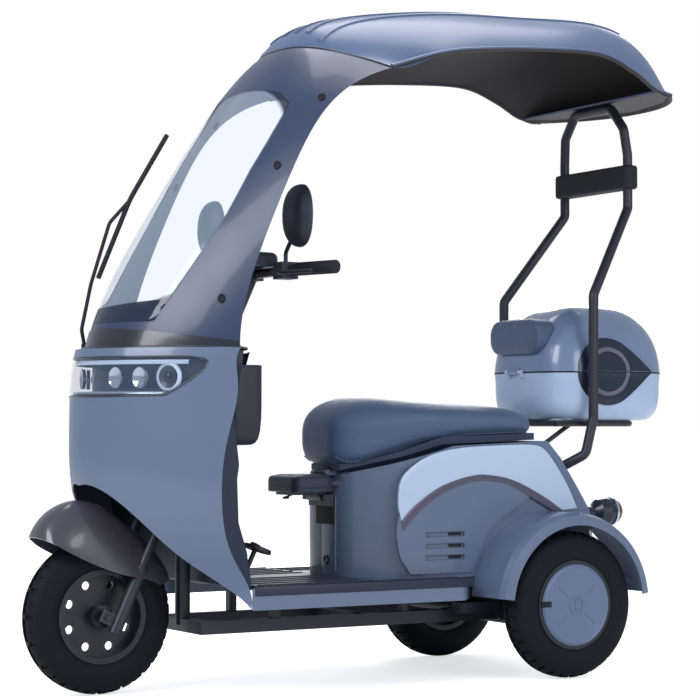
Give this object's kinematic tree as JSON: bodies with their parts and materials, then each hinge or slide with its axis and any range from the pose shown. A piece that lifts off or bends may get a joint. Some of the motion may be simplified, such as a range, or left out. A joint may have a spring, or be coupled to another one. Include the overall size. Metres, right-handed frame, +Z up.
{
  "type": "electric tricycle",
  "caption": "Electric mobility tricycle with a rain canopy, wrap-round windscreen, bench saddle, folding child pad, rear hoop and a lidded top box.",
  "frame": {"origin": "on the ground, under the middle of the outline", "axes": "-Y forward, +X to the rider's left, +Z up"},
  "size_m": [0.692, 1.7759, 1.6833],
  "materials": {
    "body_paint": "gloss",
    "shell_paint": "satin",
    "roof_paint": "satin",
    "panel_white": "gloss",
    "fender_brown": "gloss",
    "dark_plastic": "satin",
    "seat_cover": "satin",
    "black_metal": "satin",
    "steel": "satin",
    "aluminium": "satin",
    "clear": "gloss",
    "mirror": "gloss",
    "rubber": "matte",
    "tyre": "matte"
  },
  "bodies": {
    "chassis": {"frame": "black_metal", "rear_axle": "black_metal", "rear_shocks": "steel", "battery_box": "dark_plastic", "floor_board": "body_paint", "floor_mat": "rubber", "brake_pedal": "black_metal", "front_shield": "body_paint", "headlight_lens": "clear", "headlight_housing": "dark_plastic", "inner_panel": "dark_plastic", "dashboard": "dark_plastic", "windscreen_frame": "shell_paint", "windscreen_glass": "clear", "roof": "roof_paint", "wiper": "rubber", "storage_pockets": "dark_plastic", "seat_base": "body_paint", "side_panels": "body_paint", "rear_fenders": "body_paint", "roof_hoop": "black_metal", "hoop_pad": "rubber", "luggage_rack": "black_metal", "tail_lamps": "dark_plastic", "plate_bracket": "black_metal", "child_mount": "black_metal", "box_base": "panel_white"},
    "steering": {"fork": "black_metal", "handlebar": "black_metal", "grips": "rubber", "instrument_cowl": "dark_plastic", "bar_controls": "dark_plastic", "mirrors": "dark_plastic", "mirror_glasses": "mirror", "front_fender": "fender_brown"},
    "front_wheel": {"front_tyre": "tyre", "front_rim": "black_metal"},
    "rear_left_wheel": {"rear_left_tyre": "tyre", "rear_left_rim": "black_metal", "hub_cap_left": "aluminium"},
    "rear_right_wheel": {"rear_right_tyre": "tyre", "rear_right_rim": "black_metal", "hub_cap_right": "aluminium"},
    "saddle": {"seat_cushion": "seat_cover", "seat_pan": "dark_plastic"},
    "child_seat": {"child_pad": "seat_cover", "child_bracket": "black_metal"},
    "box_top": {"box_lid": "body_paint", "back_pad": "seat_cover"}
  },
  "joints": [
    {"name": "steering_turn", "type": "hinge", "parent": "chassis", "child": "steering", "pos_m": [0, -0.6749, 0.18], "axis": [0, 0.4226, 0.9063], "range_deg": [-30, 30]},
    {"name": "front_wheel_spin", "type": "hinge", "parent": "steering", "child": "front_wheel", "pos_m": [0, -0.708, 0.18], "axis": [1, 0, 0], "continuous": true},
    {"name": "rear_left_spin", "type": "hinge", "parent": "chassis", "child": "rear_left_wheel", "pos_m": [0.291, 0.425, 0.18], "axis": [1, 0, 0], "continuous": true},
    {"name": "rear_right_spin", "type": "hinge", "parent": "chassis", "child": "rear_right_wheel", "pos_m": [-0.291, 0.425, 0.18], "axis": [1, 0, 0], "continuous": true},
    {"name": "saddle_hinge", "type": "hinge", "parent": "chassis", "child": "saddle", "pos_m": [0, -0.108, 0.506], "axis": [1, 0, 0], "range_deg": [0, 65]},
    {"name": "child_seat_fold", "type": "hinge", "parent": "chassis", "child": "child_seat", "pos_m": [0, -0.122, 0.446], "axis": [1, 0, 0], "range_deg": [0, 90]},
    {"name": "box_lid_hinge", "type": "hinge", "parent": "chassis", "child": "box_top", "pos_m": [0, 0.471, 0.759], "axis": [1, 0, 0], "range_deg": [0, 40]}
  ]
}
